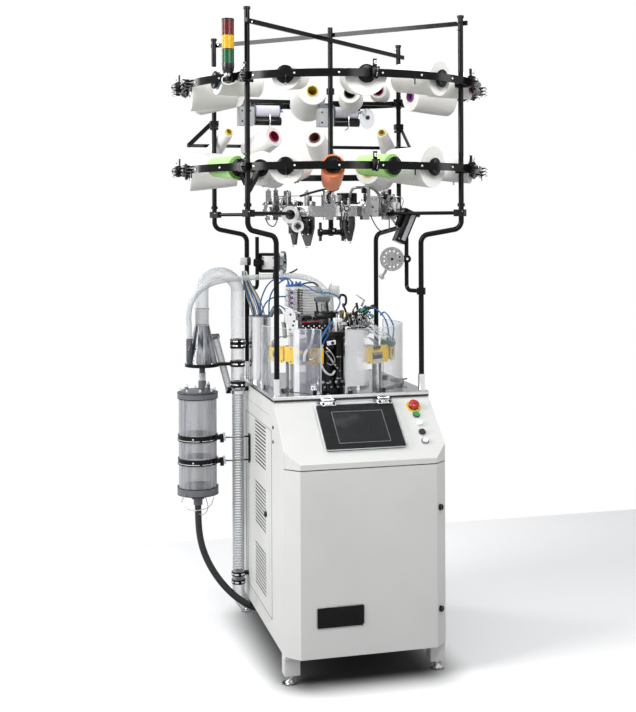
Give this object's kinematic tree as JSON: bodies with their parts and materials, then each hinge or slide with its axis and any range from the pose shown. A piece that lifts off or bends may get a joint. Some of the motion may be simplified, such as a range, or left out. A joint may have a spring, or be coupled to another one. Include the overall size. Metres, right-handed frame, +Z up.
{
  "type": "industrial knitting machine",
  "caption": "Single-cylinder sock knitting machine with a cabinet, touch terminal, needle head under clear guards, ring creel of yarn bobbins and side waste suction unit.",
  "frame": {"origin": "on the floor under the knitting axis", "axes": "+Z up, -Y towards the operator, +X to the operator's right"},
  "size_m": [1.272, 1.272, 2.42],
  "materials": {
    "foot_steel": "zinc plated",
    "cabinet_paint": "fine textured light grey paint",
    "inner_grey": "grey paint",
    "motor_grey": "cast, painted dark",
    "plate_metal": "machined",
    "chrome": "polished",
    "terminal_dark": "fine matt",
    "clear_sheet": "clear acrylic",
    "stop_red": "gloss",
    "button_green": "gloss",
    "button_white": "gloss",
    "button_black": "gloss",
    "button_pale": "gloss",
    "tube_black": "satin black paint",
    "clamp_black": "moulded",
    "yarn_white": "wound yarn",
    "yarn_green": "wound yarn",
    "core_crimson": "moulded cones",
    "signal_black": "moulded",
    "signal_red": "translucent",
    "unit_grey": "moulded",
    "spool_white": "wound elastic",
    "aluminium": "machined",
    "cover_black": "moulded",
    "machined_steel": "turned",
    "carrier_grey": "grey",
    "board_yellow": "satin",
    "casting_black": "painted casting",
    "valve_white": "moulded",
    "clear_guard": "clear acrylic",
    "clear_tube": "clear tube",
    "smoke_plastic": "smoked",
    "cap_grey": "moulded",
    "hose_black": "matt",
    "hose_clear": "ribbed clear",
    "hose_grey": "ribbed",
    "hose_blue": "smooth"
  },
  "bodies": {
    "machine": {"base_frame": "cabinet_paint", "levelling_feet": "foot_steel", "cabinet_panels": "cabinet_paint", "console_housing": "cabinet_paint", "control_box": "inner_grey", "drive_motor": "motor_grey", "top_plate": "plate_metal", "console_fittings": "chrome", "upright_sockets": "chrome", "terminal_panel": "terminal_dark", "creel_uprights": "tube_black", "creel_bars": "tube_black", "creel_rings": "tube_black", "creel_clamps": "clamp_black", "white_yarn": "yarn_white", "coloured_yarn": "yarn_green", "yarn_cores": "core_crimson", "bobbin_holders": "clamp_black", "signal_base": "signal_black", "signal_lenses": "signal_red", "elastic_units": "unit_grey", "feeder_ring": "aluminium", "feeder_units": "aluminium", "feeder_covers": "cover_black", "accessory_arms": "tube_black", "cylinder_housing": "machined_steel", "selector_ring": "carrier_grey", "selector_plates": "board_yellow", "dial_bracket": "casting_black", "valve_block": "valve_white", "yarn_fingers": "machined_steel", "guard_left": "clear_guard", "steel_guard": "machined_steel", "suction_pipe": "clear_tube", "suction_elbow": "smoke_plastic", "separator_cone": "smoke_plastic", "collector_tube": "smoke_plastic", "collector_caps": "cap_grey", "suction_brackets": "clamp_black", "drain_hose": "hose_black", "waste_hose": "hose_clear", "ribbed_hose": "hose_grey", "air_hoses": "hose_blue"},
    "door": {"front_door": "cabinet_paint"},
    "lock_upper": {"door_lock_upper": "chrome"},
    "lock_lower": {"door_lock_lower": "chrome"},
    "lid": {"screen_cover": "clear_sheet"},
    "stop": {"emergency_stop": "stop_red"},
    "green": {"green_button": "button_green"},
    "white": {"white_button": "button_white"},
    "black": {"black_button": "button_black"},
    "reset": {"reset_button": "button_pale"},
    "cylinder": {"needle_cylinder": "machined_steel"},
    "dial_disc": {"dial": "machined_steel"},
    "sliding_guard": {"guard_right": "clear_guard"},
    "right_wheel": {"wheel_right": "aluminium"},
    "left_wheel": {"wheel_left": "aluminium"},
    "left_spool": {"elastic_spool_left": "spool_white"},
    "right_spool": {"elastic_spool_right": "spool_white"},
    "bail": {"lift_handle": "casting_black"}
  },
  "joints": [
    {"name": "door_hinge", "type": "hinge", "parent": "machine", "child": "door", "pos_m": [-0.3025, -0.474, 0.4], "axis": [0, 0, -1], "range_deg": [0, 100]},
    {"name": "door_lock_upper_turn", "type": "hinge", "parent": "door", "child": "lock_upper", "pos_m": [0.2695, -0.507, 0.608], "axis": [-0.7071, 0.7071, 0], "range_deg": [0, 90]},
    {"name": "door_lock_lower_turn", "type": "hinge", "parent": "door", "child": "lock_lower", "pos_m": [0.2695, -0.507, 0.24], "axis": [-0.7071, 0.7071, 0], "range_deg": [0, 90]},
    {"name": "screen_cover_hinge", "type": "hinge", "parent": "machine", "child": "lid", "pos_m": [0.002, -0.31349, 0.98232], "axis": [-1, 0, 0], "range_deg": [0, 100]},
    {"name": "emergency_stop_push", "type": "slide", "parent": "machine", "child": "stop", "axis": [0, 0.6364, -0.7713], "range_m": [0, 0.004]},
    {"name": "green_button_push", "type": "slide", "parent": "machine", "child": "green", "axis": [0, 0.6364, -0.7713], "range_m": [0, 0.003], "stiffness_N_per_m": 300, "springref_m": -0.002},
    {"name": "white_button_push", "type": "slide", "parent": "machine", "child": "white", "axis": [0, 0.6364, -0.7713], "range_m": [0, 0.003], "stiffness_N_per_m": 300, "springref_m": -0.002},
    {"name": "black_button_push", "type": "slide", "parent": "machine", "child": "black", "axis": [0, 0.6364, -0.7713], "range_m": [0, 0.003], "stiffness_N_per_m": 300, "springref_m": -0.002},
    {"name": "reset_button_push", "type": "slide", "parent": "machine", "child": "reset", "axis": [0, 0.6364, -0.7713], "range_m": [0, 0.003], "stiffness_N_per_m": 300, "springref_m": -0.002},
    {"name": "cylinder_spin", "type": "hinge", "parent": "machine", "child": "cylinder", "pos_m": [0, 0, 1.1], "axis": [0, 0, 1], "continuous": true},
    {"name": "dial_spin", "type": "hinge", "parent": "machine", "child": "dial_disc", "pos_m": [0, 0, 1.25], "axis": [0, 0, 1], "continuous": true},
    {"name": "guard_slide", "type": "hinge", "parent": "machine", "child": "sliding_guard", "pos_m": [0, 0, 1], "axis": [0, 0, 1], "range_deg": [0, 75]},
    {"name": "right_wheel_spin", "type": "hinge", "parent": "machine", "child": "right_wheel", "pos_m": [0.186, -0.214, 1.5], "axis": [-0.2496, -0.9684, 0], "continuous": true},
    {"name": "left_wheel_spin", "type": "hinge", "parent": "machine", "child": "left_wheel", "pos_m": [-0.152, 0.196, 1.478], "axis": [0.9292, -0.3697, 0], "continuous": true},
    {"name": "left_spool_spin", "type": "hinge", "parent": "machine", "child": "left_spool", "pos_m": [-0.181, 0.374, 2.118], "axis": [1, 0, 0], "continuous": true},
    {"name": "right_spool_spin", "type": "hinge", "parent": "machine", "child": "right_spool", "pos_m": [0.167, 0.374, 2.118], "axis": [1, 0, 0], "continuous": true},
    {"name": "lift_handle_tilt", "type": "hinge", "parent": "machine", "child": "bail", "pos_m": [-0.048, -0.062, 1.288], "axis": [1, 0, 0], "range_deg": [0, 60]}
  ],
  "couplings": [
    {"joint": "dial_spin", "follows": "cylinder_spin", "ratio": 1}
  ]
}
